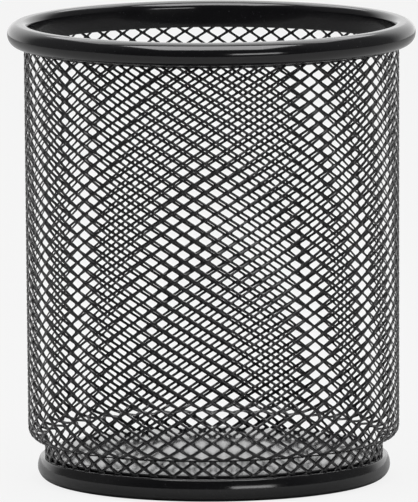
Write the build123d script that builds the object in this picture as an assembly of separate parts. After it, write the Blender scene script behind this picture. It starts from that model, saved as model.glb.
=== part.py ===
"""Steel mesh pen cup, in millimetres, standing on z = 0 around the Z axis.

Four pieces: a wall of expanded steel mesh, rounded under at its foot to a ledge and a neck; a top rim rolled from
strip round the mesh's upper edge; a foot ring formed round its lower edge; and a floor disc that lies on the foot
ring inside the neck.
"""

import math
import os

from build123d import *

# The cup as a whole
CUP_DIAMETER = 90.0
CUP_HEIGHT = 100.0

# Top rim, a strip rolled outwards into a tube with a flat side at the mouth
RIM_WIDTH = 5.15
RIM_HEIGHT = 5.2
RIM_CURL = 2.58
RIM_LIP = 1.7
RIM_EDGE = 0.5
RIM_SHEET = 0.32

# Foot ring, a strip folded into a hollow band, set back from the outside of the cup
FOOT_SETBACK = 6.65
FOOT_BAND = 4.6
FOOT_HEIGHT = 5.1
FOOT_FACE = 5.2
FOOT_NOSE = 2.6
FOOT_TOE = 2.8
FOOT_CROWN = 0.6
FOOT_CORNER = 0.7
FOOT_SHEET = 0.4
FOOT_INSERT = 2.2

# Floor disc
FLOOR_SHEET = 0.6
FLOOR_EDGE = 0.15
FLOOR_LEDGE = 0.42

# Expanded mesh
CELL_PITCH = 4.836
ROW_PITCH = 1.509
MESH_SHEET = 0.3
STRAND_SHARE = 0.2
TOP_INSERT = 1.53
WALL_SETBACK = 4.25
WALL_TAPER = 0.3
MESH_PHASE = 0.445

# Neck above the foot ring and the shoulder rounded out from it to the wall
NECK_HEIGHT = 3.45
NECK_BEND = 0.3
SHOULDER_BEND = 2.7
SHOULDER_ANGLE = 88.0
WALL_LEAD = 0.2

# Room between pieces that are pressed together
FIT = 0.03

# Derived sizes
RIM_RADIUS = (CUP_DIAMETER - RIM_WIDTH) / 2
RIM_LEVEL = CUP_HEIGHT - RIM_HEIGHT / 2
FOOT_RADIUS = (CUP_DIAMETER - FOOT_BAND) / 2 - FOOT_SETBACK
FLOOR_RADIUS = FOOT_RADIUS + FLOOR_LEDGE
FLOOR_LEVEL = FOOT_HEIGHT + FLOOR_SHEET
NECK_APOTHEM = FLOOR_RADIUS + FIT + MESH_SHEET
TOP_APOTHEM = CUP_DIAMETER / 2 - WALL_SETBACK
WALL_APOTHEM = TOP_APOTHEM - WALL_TAPER
MESH_TOP = CUP_HEIGHT - RIM_HEIGHT + TOP_INSERT
MESH_FOOT = FOOT_HEIGHT - FOOT_INSERT
CELLS = round(2 * math.pi * WALL_APOTHEM / CELL_PITCH)
HALF_STEP = math.pi / CELLS / 2


def shoulder_levels():
    """Points (apothem, z) of the outer face at each row of knuckles, from the mesh's lower edge to the wall.

    The path goes up the neck, out along the ledge and round into the wall, to the lowest whole row of the wall.
    """
    turn = math.radians(SHOULDER_ANGLE)
    bends = (SHOULDER_BEND + NECK_BEND) * (1 - math.cos(turn))
    reach = (WALL_APOTHEM - NECK_APOTHEM - bends) / math.sin(turn)
    neck = Line((NECK_APOTHEM, MESH_FOOT), (NECK_APOTHEM, FOOT_HEIGHT + NECK_HEIGHT))
    lower = JernArc(neck @ 1, neck % 1, NECK_BEND, -SHOULDER_ANGLE)
    ledge = PolarLine(lower @ 1, reach, direction=lower % 1)
    upper = JernArc(ledge @ 1, ledge % 1, SHOULDER_BEND, SHOULDER_ANGLE)
    room = MESH_TOP - (upper @ 1).Y
    lead = Line(upper @ 1, (WALL_APOTHEM, MESH_TOP - wall_rows(room) * ROW_PITCH))
    path = Wire([neck.edge(), lower.edge(), ledge.edge(), upper.edge(), lead.edge()])
    rows = round(path.length / ROW_PITCH)
    return [path @ (row / rows) for row in range(rows + 1)]


def wall_rows(room):
    """How many whole rows of strands fit into the height above the shoulder."""
    return math.floor((room - WALL_LEAD) / ROW_PITCH)


def inset(points, depth):
    """The open chain of points moved sideways, towards the axis, by depth, with mitred corners."""
    moved = []
    for i, point in enumerate(points):
        ways = [(b - a).normalized() for a, b in zip(points[max(i - 1, 0):i + 1], points[max(i, 1):i + 2])]
        sides = [Vector(-way.Y, way.X) for way in ways]
        middle = (sides[0] + sides[-1]).normalized()
        moved.append(point + middle * (depth / middle.dot(sides[0])))
    return moved


def between(a, b, share):
    """The point at a share of the way from a to b."""
    return a + (b - a) * share


def place(strip, point, across):
    """A point of a strip's flat face: point is (apothem, z), across is measured along the face."""
    turn = (2 * strip + 1) * HALF_STEP
    x = point.X * math.cos(turn) - across * math.sin(turn)
    y = point.X * math.sin(turn) + across * math.cos(turn)
    return Vector(x, y, point.Y)


def half_width(point):
    """Half the width of a strip's flat face at a point (apothem, z)."""
    return point.X * math.tan(HALF_STEP)


def polygon(points):
    """A flat face on a closed chain of points."""
    return Face(Wire.make_polygon(points, close=True))


def shoulder_faces(strip, outer, inner):
    """Faces of one strip's strands below the wall: each strand is two flat hexagons joined by its edges."""
    faces = []
    notch = 1 - 2 * STRAND_SHARE
    for row in range(len(outer) - 1):
        side = -1 if (strip + row) % 2 == 0 else 1
        rings = []
        for low, high in ((outer[row], outer[row + 1]), (inner[row], inner[row + 1])):
            start = between(low, high, STRAND_SHARE)
            end = between(high, low, STRAND_SHARE)
            rings.append([
                place(strip, low, side * half_width(low)),
                place(strip, low, side * notch * half_width(low)),
                place(strip, end, -side * half_width(end)),
                place(strip, high, -side * half_width(high)),
                place(strip, high, -side * notch * half_width(high)),
                place(strip, start, side * half_width(start)),
            ])
        out, back = rings
        faces += [polygon(out), polygon(back)]
        for a, b in ((1, 2), (4, 5)):
            faces += [polygon([out[a], out[b], back[b]]), polygon([out[a], back[b], back[a]])]
        if row == 0:
            faces.append(polygon([out[0], out[1], back[1], back[0]]))
    return faces


def wall_faces(strip, first, low, high, seat):
    """Faces of one strip of the wall: a flat zigzag outside, another inside, and the strands' edges between them.

    first is the number of the wall's lowest row, low and high are the outer face's ends as (apothem, z), and seat is
    where the inner face meets the shoulder's.
    """
    rows = round((high.Y - low.Y) / ROW_PITCH)
    way = (high - low).normalized()
    depth = Vector(-way.Y, way.X) * MESH_SHEET
    notch = 1 - 2 * STRAND_SHARE

    def level(row):
        return between(low, high, row / rows)

    def outside(spot):
        return place(strip, level(spot[0]), spot[1])

    def inside(spot):
        return place(strip, level(spot[0]) + depth, spot[1])

    def border(spot, tip):
        """Where the edge from spot to tip, at the strip's border outside, meets the border inside."""
        side = math.copysign(1, tip[1])
        room = [side * half_width(level(row) + depth) - across for row, across in (spot, tip)]
        share = room[0] / (room[0] - room[1])
        return inside((spot[0] + share * (tip[0] - spot[0]), spot[1] + share * (tip[1] - spot[1])))

    faces = []
    chains = {-1: [], 1: []}
    for row in range(rows):
        side = -1 if (strip + first + row) % 2 == 0 else 1
        near = (row, side * notch * half_width(level(row)))
        far = (row + 1, -side * notch * half_width(level(row + 1)))
        start = (row + STRAND_SHARE, side * half_width(level(row + STRAND_SHARE)))
        end = (row + 1 - STRAND_SHARE, -side * half_width(level(row + 1 - STRAND_SHARE)))
        lower = [(outside(near), inside(near)), (outside(end), border(near, end))]
        upper = [(outside(start), border(far, start)), (outside(far), inside(far))]
        if row == 0:
            lower[0] = (lower[0][0], place(strip, seat, side * notch * half_width(seat)))
            corner = (place(strip, low, side * half_width(low)), place(strip, seat, side * half_width(seat)))
            chains[side].append(corner)
            chains[-side].append(lower[0])
        (a, b), (c, d) = lower
        if row == 0:
            faces += [polygon([a, c, d]), polygon([a, d, b])]
        else:
            faces.append(polygon([a, c, d, b]))
        (a, b), (c, d) = upper
        faces.append(polygon([a, c, d, b]))
        chains[-side].append(lower[1])
        chains[side] += upper
    last = level(rows)
    tip = last + depth
    corner = (place(strip, last, -side * half_width(last)), place(strip, tip, -side * half_width(tip)))
    chains[-side].append(corner)
    faces.append(polygon([corner[0], upper[1][0], upper[1][1], corner[1]]))
    for face in range(2):
        faces.append(polygon([pair[face] for pair in chains[1] + chains[-1][::-1]]))
    return faces


def mesh_wall():
    """The expanded mesh: two neighbouring strips make one cell's width, which is repeated round the axis."""
    top = Vector(TOP_APOTHEM, MESH_TOP)
    levels = shoulder_levels()
    inner = inset([*levels, top], MESH_SHEET)
    first = len(levels) - 1
    faces = []
    for strip in range(2):
        faces += shoulder_faces(strip, levels, inner)
        faces += wall_faces(strip, first, levels[-1], top, inner[first])
    cell = Shell(faces)
    turned = [cell.rotate(Axis.Z, 360 / CELLS * (i + MESH_PHASE)) for i in range(CELLS)]
    return Solid(Shell([face for copy in turned for face in copy.faces()]))


def mesh_slot(apothem, depth):
    """A slot's section for an edge of the mesh with that apothem, drawn from (0, 0) upwards at its place."""
    inner = apothem - MESH_SHEET - FIT
    outer = apothem / math.cos(HALF_STEP) + FIT
    return Pos(inner, 0) * Rectangle(outer - inner, depth, align=(Align.MIN, Align.MIN))


def rim_section(depth):
    """The rim's section at a depth under its outside: round outside, and flat at the mouth under a rounded lip."""
    section = Rectangle(RIM_WIDTH - 2 * depth, RIM_HEIGHT - 2 * depth)
    section = fillet(section.vertices().group_by(Axis.X)[-1], RIM_CURL - depth)
    lip = section.vertices().group_by(Axis.X)[0].sort_by(Axis.Y)[-1]
    section = fillet(lip, RIM_LIP - depth)
    edge = section.vertices().group_by(Axis.X)[0].sort_by(Axis.Y)[0]
    return fillet(edge, RIM_EDGE - depth)


def top_rim():
    """The rim: a rolled tube with a slot underneath for the mesh's upper edge."""
    profile = Pos(RIM_RADIUS, RIM_LEVEL) * (rim_section(0) - rim_section(RIM_SHEET))
    profile -= Pos(0, RIM_LEVEL - RIM_HEIGHT) * mesh_slot(TOP_APOTHEM, RIM_HEIGHT)
    return revolve(Plane.XZ * profile, Axis.Z)


def foot_section(depth):
    """The foot ring's section at a depth under its outside: a bowed outer face with a wide round toe."""
    section = Rectangle(FOOT_BAND - 2 * depth, FOOT_HEIGHT - 2 * depth)
    section &= Pos(FOOT_BAND / 2 - FOOT_FACE, FOOT_NOSE - FOOT_HEIGHT / 2) * Circle(FOOT_FACE - depth)
    section = fillet(section.vertices().sort_by(Axis.X)[:2], FOOT_CORNER - depth)
    section = fillet(section.vertices().group_by(Axis.Y)[-1].sort_by(Axis.X)[-1], FOOT_CROWN - depth)
    return fillet(section.vertices().group_by(Axis.Y)[0].sort_by(Axis.X)[-1], FOOT_TOE - depth)


def base_ring():
    """The foot: a hollow band with flats to stand on and to carry the floor, slotted for the mesh's lower edge."""
    profile = Pos(FOOT_RADIUS, FOOT_HEIGHT / 2) * (foot_section(0) - foot_section(FOOT_SHEET))
    profile -= Pos(0, FOOT_HEIGHT / 2) * mesh_slot(NECK_APOTHEM, FOOT_HEIGHT)
    return revolve(Plane.XZ * profile, Axis.Z)


def base_plate():
    """The floor: a disc inside the neck, lying on the foot ring."""
    disc = Pos(0, 0, FOOT_HEIGHT) * Cylinder(FLOOR_RADIUS, FLOOR_SHEET, align=(Align.CENTER, Align.CENTER, Align.MIN))
    return fillet(disc.edges().group_by(Axis.Z)[-1], FLOOR_EDGE)


def main():
    """Writes one STEP file for each piece."""
    os.makedirs("parts", exist_ok=True)
    export_step(mesh_wall(), "parts/mesh_wall.step", write_pcurves=False)
    export_step(top_rim(), "parts/top_rim.step")
    export_step(base_ring(), "parts/base_ring.step")
    export_step(base_plate(), "parts/base_plate.step")


if __name__ == "__main__":
    main()
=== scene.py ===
"""Black steel mesh pen cup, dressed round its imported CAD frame, with a studio and the photograph's camera.

Lengths are in metres, and the cup's own sizes are written in millimetres, times MM. The cup stands on z = 0
round the Z axis, and the camera looks along +Y.
"""

import logging
import math
from dataclasses import dataclass, field
from enum import Enum

import bmesh
import bpy
from mathutils import Matrix, Vector


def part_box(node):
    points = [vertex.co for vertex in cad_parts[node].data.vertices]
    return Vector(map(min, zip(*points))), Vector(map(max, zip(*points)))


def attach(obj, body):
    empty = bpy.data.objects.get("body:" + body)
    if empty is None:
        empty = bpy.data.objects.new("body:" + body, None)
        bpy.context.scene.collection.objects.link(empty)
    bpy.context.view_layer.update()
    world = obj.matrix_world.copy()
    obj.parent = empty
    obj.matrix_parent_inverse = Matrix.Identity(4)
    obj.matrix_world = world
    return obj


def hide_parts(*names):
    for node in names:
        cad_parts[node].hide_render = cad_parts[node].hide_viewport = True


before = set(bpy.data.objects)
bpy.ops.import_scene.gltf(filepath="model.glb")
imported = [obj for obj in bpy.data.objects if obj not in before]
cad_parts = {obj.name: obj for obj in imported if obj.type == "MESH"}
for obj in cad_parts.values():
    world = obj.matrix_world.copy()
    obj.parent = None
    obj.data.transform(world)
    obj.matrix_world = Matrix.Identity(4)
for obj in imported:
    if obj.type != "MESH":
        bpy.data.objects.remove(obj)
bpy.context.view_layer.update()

log = logging.getLogger("mesh_cup")
MM = 0.001
BODY = "root"

# Corners that lie nearer than this are merged, on a turned shape's seam and between the net's cells.
SEAM = 0.0001 * MM
NET_SEAM = 0.002 * MM

# A point (radius, z) of a profile, and a linear colour.
Point = tuple[float, float]
Colour = tuple[float, float, float]


class Slot(Enum):
    """The record's material slots, one for each piece."""

    MESH = "mesh_black"
    RIM = "rim_black"
    FOOT = "foot_black"
    FLOOR = "floor_black"


class Around(Enum):
    """How many steps a turned piece has round the axis."""

    TUBE = 240
    DISC = 192


class Curve(Enum):
    """How a value rises between two ends."""

    STRAIGHT = "LINEAR"
    SMOOTH = "SMOOTHSTEP"


def grey(value: float) -> tuple[float, float, float, float]:
    """A linear grey with full alpha."""
    return (value, value, value, 1.0)


@dataclass(frozen=True)
class Rise:
    """A value that rises from low to high while another goes from start to end, and is level outside."""

    start: float
    end: float
    low: float
    high: float
    curve: Curve = Curve.STRAIGHT

    def add(self, tree: bpy.types.NodeTree, source: bpy.types.NodeSocket) -> bpy.types.NodeSocket:
        """Adds the rise to a node tree.

        Args:
            tree: The node tree.
            source: The value that drives the rise.

        Returns:
            The socket of the risen value.
        """
        node = tree.nodes.new("ShaderNodeMapRange")
        node.interpolation_type = self.curve.value
        ends = {"From Min": self.start, "From Max": self.end, "To Min": self.low, "To Max": self.high}
        for name, value in ends.items():
            node.inputs[name].default_value = value
        tree.links.new(source, node.inputs["Value"])
        return node.outputs["Result"]


@dataclass(frozen=True)
class Grain:
    """A noise on Object coordinates: its scale per metre, and how many octaves of detail it has."""

    scale: float
    detail: float

    def add(self, tree: bpy.types.NodeTree) -> bpy.types.NodeSocket:
        """Adds the noise to a node tree.

        Args:
            tree: The node tree.

        Returns:
            The socket of the noise's value.
        """
        place = tree.nodes.new("ShaderNodeTexCoord")
        noise = tree.nodes.new("ShaderNodeTexNoise")
        noise.inputs["Scale"].default_value = self.scale
        noise.inputs["Detail"].default_value = self.detail
        tree.links.new(place.outputs["Object"], noise.inputs["Vector"])
        return noise.outputs["Fac"]


@dataclass(frozen=True)
class BlackPaint:
    """Glossy black paint on steel: uneven gloss, a faint orange peel and specks of dust under the coat.

    Attributes:
        name: The material's name.
        colour: The paint's own colour.
        roughness: The coat's least and most roughness.
        peel: The orange peel's noise.
        peel_height: The orange peel's height.
        gloss: The noise that makes the gloss uneven.
        gloss_span: The part of that noise over which the roughness rises.
        specks: The noise that places the specks.
        speck_span: The part of that noise over which a speck begins.
        speck_colour: The colour of a speck.
        ior: The coat's index of refraction.
    """

    name: str
    colour: Colour
    roughness: tuple[float, float]
    peel: Grain
    peel_height: float
    gloss: Grain = Grain(140.0, 3.0)
    gloss_span: tuple[float, float] = (0.3, 0.7)
    specks: Grain = Grain(2600.0, 1.0)
    speck_span: tuple[float, float] = (0.68, 0.76)
    speck_colour: Colour = (0.02, 0.02, 0.022)
    ior: float = 1.5

    def material(self) -> bpy.types.Material:
        """Makes the paint as a node material.

        Returns:
            The new material.
        """
        made = bpy.data.materials.new(self.name)
        made.use_nodes = True
        tree = made.node_tree
        paint = tree.nodes["Principled BSDF"]
        paint.inputs["IOR"].default_value = self.ior

        roughness = Rise(*self.gloss_span, *self.roughness).add(tree, self.gloss.add(tree))
        tree.links.new(roughness, paint.inputs["Roughness"])

        tint = tree.nodes.new("ShaderNodeMix")
        tint.data_type = "RGBA"
        tint.inputs["A"].default_value = (*self.colour, 1.0)
        tint.inputs["B"].default_value = (*self.speck_colour, 1.0)
        speck = Rise(*self.speck_span, low=0.0, high=1.0).add(tree, self.specks.add(tree))
        tree.links.new(speck, tint.inputs["Factor"])
        tree.links.new(tint.outputs["Result"], paint.inputs["Base Color"])

        bump = tree.nodes.new("ShaderNodeBump")
        bump.inputs["Strength"].default_value = 1.0
        bump.inputs["Distance"].default_value = self.peel_height
        tree.links.new(self.peel.add(tree), bump.inputs["Height"])
        tree.links.new(bump.outputs["Normal"], paint.inputs["Normal"])
        return made


MESH_PAINT = BlackPaint(
    "mesh_paint", (0.006, 0.006, 0.0068), roughness=(0.16, 0.26),
    peel=Grain(900.0, 2.0), peel_height=0.01 * MM,
)
RIM_PAINT = BlackPaint(
    "rim_paint", (0.0042, 0.0042, 0.0048), roughness=(0.09, 0.15),
    peel=Grain(420.0, 2.0), peel_height=0.006 * MM,
)
FOOT_PAINT = BlackPaint(
    "foot_paint", (0.0042, 0.0042, 0.0048), roughness=(0.1, 0.17),
    peel=Grain(420.0, 2.0), peel_height=0.006 * MM,
)
FLOOR_PAINT = BlackPaint(
    "floor_paint", (0.0042, 0.0044, 0.005), roughness=(0.05, 0.09),
    peel=Grain(260.0, 2.0), peel_height=0.004 * MM,
)


def finish_piece(
    shape: bmesh.types.BMesh, name: str, node: str, paint: BlackPaint,
) -> bpy.types.Object:
    """Turns a finished bmesh into a painted piece that rides on the cup, and hides the CAD node in whose
    place it is made.

    Args:
        shape: The bmesh, in place; it is freed.
        name: The piece's name.
        node: The CAD node in whose place the piece is made, which is hidden.
        paint: The finish.

    Returns:
        The new object.
    """
    for face in shape.faces:
        face.smooth = True
    mesh = bpy.data.meshes.new(name)
    shape.to_mesh(mesh)
    shape.free()
    mesh.materials.append(paint.material())
    piece = bpy.data.objects.new(name, mesh)
    bpy.context.scene.collection.objects.link(piece)
    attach(piece, BODY)
    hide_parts(node)
    return piece


def turned(profile: list[Point], closed: bool, around: Around) -> bmesh.types.BMesh:
    """Turns a profile round the Z axis.

    Args:
        profile: Points in order.
        closed: Whether the last point joins the first.
        around: How finely the shape is divided.

    Returns:
        A bmesh with merged seams and poles and normals that point outwards.
    """
    shape = bmesh.new()
    points = [shape.verts.new((radius, 0.0, z)) for radius, z in profile]
    following = points[1:] + points[:1] if closed else points[1:]
    edges = [shape.edges.new(pair) for pair in zip(points, following)]
    bmesh.ops.spin(
        shape, geom=[*points, *edges], cent=(0, 0, 0), axis=(0, 0, 1), dvec=(0, 0, 0),
        angle=math.tau, steps=around.value, use_merge=True, use_duplicate=False,
    )
    bmesh.ops.remove_doubles(shape, verts=shape.verts, dist=SEAM)
    bmesh.ops.recalc_face_normals(shape, faces=shape.faces)
    return shape


def arc(centre: Point, radius: float, start: float, end: float, steps: int) -> list[Point]:
    """Points on an arc.

    Args:
        centre: The arc's centre.
        radius: The arc's radius.
        start: The first angle in degrees, from outwards towards up.
        end: The last angle in degrees.
        steps: How many spans the arc has.

    Returns:
        The points from start to end, both included.
    """
    angles = [math.radians(start + (end - start) * i / steps) for i in range(steps + 1)]
    return [(centre[0] + radius * math.cos(a), centre[1] + radius * math.sin(a)) for a in angles]


@dataclass
class TopRim:
    """The rim: a strip rolled outwards into a tube, with a flattened top, a flat side and a short skirt.

    Attributes:
        width: From the mouth's flat side to the outermost line.
        inset: How far the outermost line lies inside the CAD rim's.
        seat: How far the roll's crest, before it is pressed flat, lies below the CAD rim's top.
        curl: The outer roll's radius.
        press: How far the crest is pressed flat.
        corner: The radius between the flat top and the roll.
        lip: The radius between the flat top and the mouth's side.
        skirt: How far the skirt hangs below the CAD rim.
        edge: The radius of the skirt's lower edge, which is half the skirt's thickness.
        fold: The radius where the roll meets the skirt.
    """

    width: float = 4.55 * MM
    inset: float = 0.75 * MM
    seat: float = 0.2 * MM
    curl: float = 2.58 * MM
    press: float = 0.1 * MM
    corner: float = 1.4 * MM
    lip: float = 1.5 * MM
    skirt: float = 0.8 * MM
    edge: float = 0.28 * MM
    fold: float = 0.1 * MM

    def build(self) -> bpy.types.Object:
        """Makes the rim in the place of its CAD node.

        Returns:
            The rim's object.
        """
        low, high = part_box("top_rim")
        outside, crest = high.x - self.inset, high.z - self.seat
        mouth, top = outside - self.width, crest - self.press
        middle, bottom = crest - self.curl, crest - 2 * self.curl
        skirt_out = mouth + 2 * self.edge

        # The corner's arc touches the roll from within, at the angle bent.
        inner = self.curl - self.corner
        bent = math.asin((inner - self.press) / inner)
        corner_at = (outside - self.curl + inner * math.cos(bent), top - self.corner)
        roll_from = math.degrees(bent)

        profile = arc(corner_at, self.corner, 90.0, roll_from, steps=8)
        profile += arc((outside - self.curl, middle), self.curl, roll_from, -90.0, steps=36)[1:]
        profile += arc((skirt_out + self.fold, bottom - self.fold), self.fold, 90.0, 180.0, steps=4)
        hem_at = (mouth + self.edge, low.z - self.skirt + self.edge)
        profile += arc(hem_at, self.edge, 0.0, -180.0, steps=10)
        profile += arc((mouth + self.lip, top - self.lip), self.lip, 180.0, 90.0, steps=10)
        shape = turned(profile, True, Around.TUBE)
        return finish_piece(shape, "rolled_rim", "top_rim", RIM_PAINT)


@dataclass
class FootRing:
    """The foot: a band with a bowed outer face, a tight crown above it and a wide round toe under it.

    Attributes:
        band: From the inside to the bowed face's outermost line.
        face: The bowed face's radius.
        nose: The height of the bowed face's outermost line.
        toe: The toe's radius.
        crown: The crown's radius.
        corner: The radius of the two inner corners.
    """

    band: float = 4.6 * MM
    face: float = 5.2 * MM
    nose: float = 2.6 * MM
    toe: float = 2.8 * MM
    crown: float = 0.6 * MM
    corner: float = 0.7 * MM

    def build(self) -> bpy.types.Object:
        """Makes the foot ring in the place of its CAD node.

        Returns:
            The foot ring's object.
        """
        low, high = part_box("base_ring")
        nose_at, crown_at = low.z + self.nose, high.z - self.crown

        # The toe's and the crown's arcs touch the bowed face from within, at these angles.
        toe_tilt = math.asin((self.toe - self.nose) / (self.face - self.toe))
        crown_tilt = math.asin((crown_at - nose_at) / (self.face - self.crown))
        toe_centre = high.x - self.toe
        face_centre = toe_centre - (self.face - self.toe) * math.cos(toe_tilt)
        crown_centre = face_centre + (self.face - self.crown) * math.cos(crown_tilt)
        inside = face_centre + self.face - self.band
        upper, lower = math.degrees(crown_tilt), math.degrees(toe_tilt)

        profile = arc((crown_centre, crown_at), self.crown, 90.0, upper, steps=8)
        profile += arc((face_centre, nose_at), self.face, upper, lower, steps=8)[1:]
        profile += arc((toe_centre, low.z + self.toe), self.toe, lower, -90.0, steps=20)[1:]
        profile += arc((inside + self.corner, low.z + self.corner), self.corner, -90.0, -180.0, steps=6)
        profile += arc((inside + self.corner, high.z - self.corner), self.corner, 180.0, 90.0, steps=6)
        shape = turned(profile, True, Around.TUBE)
        return finish_piece(shape, "foot_ring", "base_ring", FOOT_PAINT)


@dataclass
class FloorDisc:
    """The floor: a flat disc of sheet steel inside the neck, with a soft upper edge.

    Attributes:
        edge: The radius of the upper edge.
        room: How far the disc's edge lies inside the CAD floor's.
        rings: How many rings each side is divided into.
    """

    edge: float = 0.15 * MM
    room: float = 0.1 * MM
    rings: int = 12

    def build(self) -> bpy.types.Object:
        """Makes the floor in the place of its CAD node.

        Returns:
            The floor's object.
        """
        low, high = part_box("base_plate")
        radius = high.x - self.room
        rings = [radius * i / self.rings for i in range(self.rings)]
        profile = [(ring, low.z) for ring in [*rings, radius]]
        profile += arc((radius - self.edge, high.z - self.edge), self.edge, 0.0, 90.0, steps=4)
        profile += [(ring, high.z) for ring in reversed(rings)]
        shape = turned(profile, False, Around.DISC)
        return finish_piece(shape, "floor_disc", "base_plate", FLOOR_PAINT)


@dataclass
class MeshWall:
    """The wall: expanded steel mesh, rounded under at its foot to a ledge and a neck.

    The net is drawn flat in cells across and rows up, louvred, and then bent round the cup.

    Attributes:
        cells: How many cells go round the cup.
        phase: How far the first cell is turned from +X, in cells.
        drift: How far the net is turned at the back, in degrees.
        sink: How far the net is lower at the back.
        climb: How far the net rises and falls between the front and the back.
        twist: How far the net turns with height, in degrees for each metre.
        middle: The height at which that turn is nothing.
        rows: How many rows the net has from its lower to its upper edge.
        shoulder_rows: How many of them are on the foot, up to the shoulder's top.
        neck_rows: How many of those are on the neck.
        row_pitch: The height of a row.
        neck_pitch: The height of a row on the neck.
        cell_pitch: The width of a cell.
        taper: How much smaller the wall's radius is at its foot than at its top.
        setback: How far the net's middle lies inside the CAD wall.
        start: The height of the lower edge.
        neck_radius: The neck's radius.
        neck_bend: The radius of the bend from the neck to the ledge.
        neck_top: The height at which that bend begins.
        shoulder_bend: The radius of the bend from the ledge to the wall.
        shoulder_angle: How far both bends turn, in degrees.
        hole_half_height: Half a hole's height.
        tip_reach: From a hole's middle to its blunt tip.
        tip_shoulder: From a hole's middle to the two corners beside that tip.
        tip_half_height: How far those corners lie above and below the tip.
        squeeze: The share by which the lowest holes are smaller.
        squeezed_rows: How many rows it takes until the holes have their full size.
        louvre: How far the strands' edges lean out of the net.
        tip_louvre: The share of that lean at the corners beside a tip.
        sheet: The sheet's thickness.
        foot: The chain of points (radius, z) up the neck and out into the wall.
        foot_length: The length of that chain.
        top: The point (radius, z) of the upper edge.
    """

    cells: int = 53
    phase: float = 0.527
    drift: float = -2.61
    sink: float = 0.26 * MM
    climb: float = 0.1 * MM
    twist: float = -28.5
    middle: float = 50.0 * MM
    rows: int = 63
    shoulder_rows: int = 7
    neck_rows: int = 4
    row_pitch: float = 1.509 * MM
    neck_pitch: float = 1.5175 * MM
    cell_pitch: float = 4.836 * MM
    taper: float = 0.3 * MM
    setback: float = 0.24 * MM
    start: float = 2.49 * MM
    neck_radius: float = 36.64 * MM
    neck_bend: float = 0.46 * MM
    neck_top: float = 8.55 * MM
    shoulder_bend: float = 2.54 * MM
    shoulder_angle: float = 88.0
    hole_half_height: float = 1.21 * MM
    tip_reach: float = 1.765 * MM
    tip_shoulder: float = 1.57 * MM
    tip_half_height: float = 0.24 * MM
    squeeze: float = 0.11
    squeezed_rows: int = 13
    louvre: float = 0.1 * MM
    tip_louvre: float = 0.85
    sheet: float = 0.16 * MM
    foot: list[Vector] = field(init=False, default_factory=list)
    foot_length: float = field(init=False, default=0.0)
    top: Vector = field(init=False, default_factory=Vector)

    def trace(self) -> None:
        """Sets the foot's chain of points along the net's middle, its length, and the upper edge."""
        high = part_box("mesh_wall")[1]
        self.top = Vector((high.x - self.setback, high.z))
        wall_radius = self.top.x - self.taper
        turn = math.radians(self.shoulder_angle)
        bends = (self.shoulder_bend + self.neck_bend) * (1 - math.cos(turn))
        ledge = (wall_radius - self.neck_radius - bends) / math.sin(turn)

        neck_at = (self.neck_radius + self.neck_bend, self.neck_top)
        neck = arc(neck_at, self.neck_bend, 180.0, 180.0 - self.shoulder_angle, steps=6)
        points = [Vector((self.neck_radius, self.start)), Vector((self.neck_radius, self.neck_top))]
        points += [Vector(point) for point in neck[1:]]
        points.append(points[-1] + ledge * Vector((math.sin(turn), math.cos(turn))))

        shoulder_at = points[-1] + self.shoulder_bend * Vector((-math.cos(turn), math.sin(turn)))
        shoulder = arc(tuple(shoulder_at), self.shoulder_bend, -self.shoulder_angle, 0.0, steps=24)
        points += [Vector(point) for point in shoulder[1:]]
        lowest_row = self.top.y - (self.rows - self.shoulder_rows) * self.row_pitch
        points.append(Vector((wall_radius, lowest_row)))
        self.foot = points
        self.foot_length = sum((b - a).length for a, b in zip(points, points[1:]))

    def along_foot(self, length: float) -> tuple[Vector, Vector]:
        """Follows the foot's chain.

        Args:
            length: The length from the chain's start.

        Returns:
            The point at that length, and the direction there.
        """
        for start, end in zip(self.foot, self.foot[1:]):
            span = (end - start).length
            if length <= span or end is self.foot[-1]:
                break
            length -= span
        way = (end - start).normalized()
        return start + way * length, way

    def foot_span(self, row: float) -> float:
        """Gives a row's place on the foot: even rows on the neck and the shoulder, and a long one between.

        Args:
            row: The row, from the net's lower edge.

        Returns:
            The length along the foot's chain.
        """
        if row <= self.neck_rows:
            return row * self.neck_pitch
        even = self.foot_length - (self.shoulder_rows - max(row, self.neck_rows + 1)) * self.row_pitch
        below = self.neck_rows * self.neck_pitch
        return below + (even - below) * min(row - self.neck_rows, 1.0)

    def bend(self, flat: Vector) -> Vector:
        """Takes a point of the flat net to its place on the cup.

        Args:
            flat: Cells across, rows up and the height over the net's middle.

        Returns:
            The point on the cup.
        """
        if flat.y < self.shoulder_rows:
            spot, way = self.along_foot(self.foot_span(flat.y))
        else:
            way = (self.top - self.foot[-1]).normalized()
            share = (flat.y - self.shoulder_rows) / (self.rows - self.shoulder_rows)
            spot = self.foot[-1] + (self.top - self.foot[-1]) * share
        spot = spot + Vector((way.y, -way.x)) * flat.z
        turn = math.tau * (flat.x + self.phase) / self.cells
        return Vector((spot.x * math.cos(turn), spot.x * math.sin(turn), spot.y))

    def uneven(self, spot: Vector) -> Vector:
        """Moves a point as the real net was rolled, a little askew.

        Args:
            spot: A point of the even net.

        Returns:
            The point, turned with its height and towards the back, and raised or sunk with its place
            round the cup.
        """
        outward = spot.xy.normalized()
        behind = (1 + outward.y) / 2
        turn = self.twist * (spot.z - self.middle) + self.drift * behind
        rise = -2 * outward.x * outward.y * self.climb - self.sink * behind
        return Matrix.Rotation(math.radians(turn), 3, "Z") @ spot + Vector((0.0, 0.0, rise))

    def hole(self, row: int) -> tuple[float, float, float]:
        """Gives a hole's size, which closes up towards the foot.

        Args:
            row: The row of the hole's middle.

        Returns:
            Half its height in rows, and how far its tip and the corners beside the tip are from the next
            knuckle, in cells.
        """
        share = 1.0 - self.squeeze * max(0.0, 1.0 - row / self.squeezed_rows)
        tip, side = (0.5 - share * reach / self.cell_pitch for reach in (self.tip_reach, self.tip_shoulder))
        return share * self.hole_half_height / self.row_pitch, tip, side

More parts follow.
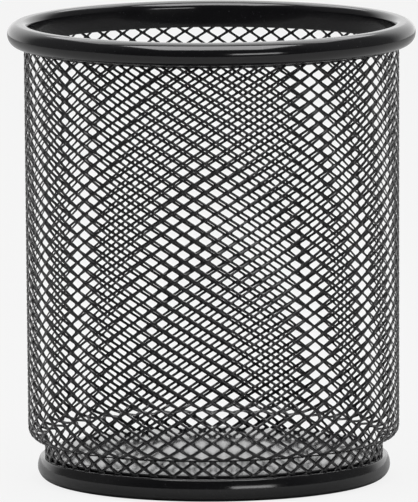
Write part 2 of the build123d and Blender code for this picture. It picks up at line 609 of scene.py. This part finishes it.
    def knuckle(self, shape: bmesh.types.BMesh, across: float, row: int) -> None:
        """Adds one knuckle of the flat net and the two strands that rise from it.

        Args:
            shape: The bmesh of the flat net.
            across: The knuckle's place across, in cells.
            row: The knuckle's row.
        """
        half_below = self.hole(row - 1)[0]
        half, tip, side = self.hole(row)
        half_above, _, side_above = self.hole(row + 1)
        lift = self.tip_half_height / self.row_pitch
        part = self.tip_louvre

        def corner(x: float, y: float, lean: float) -> bmesh.types.BMVert:
            """Adds one corner, in cells and rows from the knuckle, with a share of the louvre's depth."""
            return shape.verts.new((across + x, row + y, lean * self.louvre))

        middle = corner(0, 0, 0)
        upper, lower = corner(0, 1 - half_above, -1), corner(0, half_below - 1, 1)
        for hand in (1, -1):
            tip_at = corner(hand * tip, 0, 0)
            above = corner(hand * side, lift, part)
            below = corner(hand * side, -lift, -part)
            quads = [(middle, tip_at, above, upper), (middle, lower, below, tip_at)]
            if row < self.rows:
                far_low = corner(hand * 0.5, half, 1)
                far_high = corner(hand * (0.5 - side_above), 1 - lift, -part)
                quads.append((upper, above, far_low, far_high))
            for quad in quads:
                shape.faces.new(quad if hand > 0 else quad[::-1])

    def build(self) -> bpy.types.Object:
        """Makes the mesh in the place of its CAD node, from one column of knuckles turned round the cup.

        Returns:
            The mesh's object.
        """
        self.trace()
        shape = bmesh.new()
        for row in range(self.rows + 1):
            self.knuckle(shape, 0.5 * (row % 2), row)
        for vert in shape.verts:
            vert.co = self.bend(vert.co)
        turns = self.cells - 1
        bmesh.ops.spin(
            shape, geom=[*shape.verts, *shape.edges, *shape.faces],
            cent=(0, 0, 0), axis=(0, 0, 1), dvec=(0, 0, 0),
            angle=math.tau * turns / self.cells, steps=turns, use_merge=False, use_duplicate=True,
        )
        bmesh.ops.remove_doubles(shape, verts=shape.verts, dist=NET_SEAM)
        for vert in shape.verts:
            vert.co = self.uneven(vert.co)
        piece = finish_piece(shape, "mesh_net", "mesh_wall", MESH_PAINT)
        thick = piece.modifiers.new("sheet", "SOLIDIFY")
        thick.thickness = self.sheet
        thick.offset = 0.0
        return piece


@dataclass(frozen=True)
class SoftBox:
    """One soft rectangular light of even radiance."""

    name: str
    size: tuple[float, float]
    place: tuple[float, float, float]
    radiance: float
    aim: tuple[float, float, float]

    def build(self) -> None:
        """Hangs the light at its place, facing its aim."""
        lamp = bpy.data.lights.new(self.name, "AREA")
        lamp.shape = "RECTANGLE"
        lamp.size, lamp.size_y = self.size
        lamp.energy = self.radiance * math.pi * lamp.size * lamp.size_y
        holder = bpy.data.objects.new(self.name, lamp)
        holder.location = self.place
        way = Vector(self.aim) - Vector(self.place)
        holder.rotation_euler = way.to_track_quat("-Z", "Y").to_euler()
        bpy.context.scene.collection.objects.link(holder)


@dataclass
class Studio:
    """A pale floor, soft lights above, behind and to the right, and a room that is bright behind the cup.

    Attributes:
        floor_half: Half the floor's width and depth.
        floor_front: The floor's edge in front of the cup.
        floor_cells: How many cells the floor has each way.
        floor_albedo: How much light the floor gives back.
        floor_white: The share of white that the camera sees in the floor; the rest keeps the cup's shadow.
        white: The background's white.
        sides: The room's light from the camera's side round to the cup's sides, over the direction's Y.
        behind: What the room's light gains behind the cup, over the direction's Y.
        lights: The soft lights.
    """

    floor_half: float = 0.8
    floor_front: float = -0.33
    floor_cells: int = 8
    floor_albedo: float = 0.32
    floor_white: float = 0.9
    white: float = 0.955
    sides: Rise = Rise(-0.75, -0.1, 0.05, 0.2, Curve.SMOOTH)
    behind: Rise = Rise(0.5, 0.85, 0.0, 1.05, Curve.SMOOTH)
    lights: tuple[SoftBox, ...] = (
        SoftBox("soft_above", (1.38, 1.0), (0.0, -0.55, 1.25), radiance=7.0, aim=(0.0, -0.55, 0.0)),
        SoftBox("soft_behind", (1.5, 1.3), (0.0, 0.85, 1.2), radiance=3.0, aim=(0.0, 0.85, 0.0)),
        SoftBox("soft_right", (0.7, 0.28), (0.61, -1.31, 0.2), radiance=5.5, aim=(0.0, 0.0, 0.05)),
    )

    def paper(self) -> bpy.types.Material:
        """Makes the floor's paper, which is nearly white to the camera and pale grey to the cup.

        Returns:
            The new material.
        """
        made = bpy.data.materials.new("studio_paper")
        made.use_nodes = True
        nodes, links = made.node_tree.nodes, made.node_tree.links
        nodes.remove(nodes["Principled BSDF"])
        rays = nodes.new("ShaderNodeLightPath")
        diffuse = nodes.new("ShaderNodeBsdfDiffuse")
        diffuse.inputs["Color"].default_value = grey(self.floor_albedo)
        glow = nodes.new("ShaderNodeEmission")
        glow.inputs["Color"].default_value = grey(self.white)
        share = nodes.new("ShaderNodeMath")
        share.operation = "MULTIPLY"
        share.inputs[1].default_value = self.floor_white
        mix = nodes.new("ShaderNodeMixShader")
        links.new(rays.outputs["Is Camera Ray"], share.inputs[0])
        links.new(share.outputs[0], mix.inputs["Fac"])
        links.new(diffuse.outputs["BSDF"], mix.inputs[1])
        links.new(glow.outputs["Emission"], mix.inputs[2])
        links.new(mix.outputs["Shader"], nodes["Material Output"].inputs["Surface"])
        return made

    def floor(self) -> None:
        """Makes the floor, which keeps the cup's shadow and ends in front of the cup."""
        shape = bmesh.new()
        bmesh.ops.create_grid(
            shape, x_segments=self.floor_cells, y_segments=self.floor_cells, size=self.floor_half,
            matrix=Matrix.Translation((0.0, self.floor_front + self.floor_half, 0.0)),
        )
        mesh = bpy.data.meshes.new("studio_floor")
        shape.to_mesh(mesh)
        shape.free()
        mesh.materials.append(self.paper())
        floor = bpy.data.objects.new("studio_floor", mesh)
        bpy.context.scene.collection.objects.link(floor)

    def room(self) -> None:
        """Sets the world: white to the camera, bright behind the cup, dim beside it and dark in front."""
        world = bpy.data.worlds.new("studio_room")
        bpy.context.scene.world = world
        world.use_nodes = True
        tree = world.node_tree
        sky = tree.nodes["Background"]
        rays = tree.nodes.new("ShaderNodeLightPath")
        way = tree.nodes.new("ShaderNodeTexCoord")
        split = tree.nodes.new("ShaderNodeSeparateXYZ")
        tree.links.new(way.outputs["Generated"], split.inputs["Vector"])
        total = tree.nodes.new("ShaderNodeMath")
        tree.links.new(self.sides.add(tree, split.outputs["Y"]), total.inputs[0])
        tree.links.new(self.behind.add(tree, split.outputs["Y"]), total.inputs[1])
        seen = tree.nodes.new("ShaderNodeMix")
        seen.inputs["B"].default_value = 1.0
        tree.links.new(rays.outputs["Is Camera Ray"], seen.inputs["Factor"])
        tree.links.new(total.outputs[0], seen.inputs["A"])
        sky.inputs["Color"].default_value = grey(self.white)
        tree.links.new(seen.outputs["Result"], sky.inputs["Strength"])

    def build(self) -> None:
        """Sets up the floor, the lights and the room."""
        self.floor()
        for light in self.lights:
            light.build()
        self.room()
        bpy.context.scene.view_settings.view_transform = "Standard"


@dataclass
class PhotoCamera:
    """The photograph's long lens, a little above the cup, with a slight roll.

    Attributes:
        width: The photograph's width in pixels.
        height: The photograph's height in pixels, its longer side.
        sensor: The sensor's longer side in millimetres.
        distance: From the camera to the aim.
        elevation: How far the camera looks down, in degrees.
        roll: How far the camera is rolled, in degrees.
        scale: Pixels for each metre at the aim.
        aim_height: The aim's height on the cup's axis.
        aim_pixel: The pixel at which the aim is seen.
        clip: The nearest and the farthest distance that the camera sees.
    """

    width: float = 418.0
    height: float = 502.0
    sensor: float = 36.0
    distance: float = 2.35
    elevation: float = 7.55
    roll: float = 0.35
    scale: float = 4604.0
    aim_height: float = 0.05
    aim_pixel: tuple[float, float] = (212.7, 248.8)
    clip: tuple[float, float] = (0.1, 20.0)

    def build(self) -> None:
        """Makes the camera and sets it as the scene's."""
        lens = bpy.data.cameras.new("photo_camera")
        lens.sensor_width = self.sensor
        lens.lens = self.scale * self.distance / self.height * self.sensor
        lens.clip_start, lens.clip_end = self.clip
        tilt = math.radians(self.elevation)
        back = Vector((0.0, -math.cos(tilt), math.sin(tilt)))
        level = (-back).to_track_quat("-Z", "Y").to_matrix()
        turn = level @ Matrix.Rotation(math.radians(-self.roll), 3, "Z")
        aside = (self.aim_pixel[0] - self.width / 2) / self.scale
        up = (self.height / 2 - self.aim_pixel[1]) / self.scale
        place = Vector((0.0, 0.0, self.aim_height)) + back * self.distance
        place = place - turn @ Vector((aside, up, 0.0))
        camera = bpy.data.objects.new("photo_camera", lens)
        camera.matrix_world = Matrix.Translation(place) @ turn.to_4x4()
        bpy.context.scene.collection.objects.link(camera)
        bpy.context.scene.camera = camera


def main() -> None:
    """Builds the camera, the cup's pieces and the studio."""
    logging.basicConfig(level=logging.INFO)
    PhotoCamera().build()
    for part in (MeshWall(), TopRim(), FootRing(), FloorDisc()):
        piece = part.build()
        log.info("%s: %d faces", piece.name, len(piece.data.polygons))
    Studio().build()


if __name__ == "__main__":
    main()
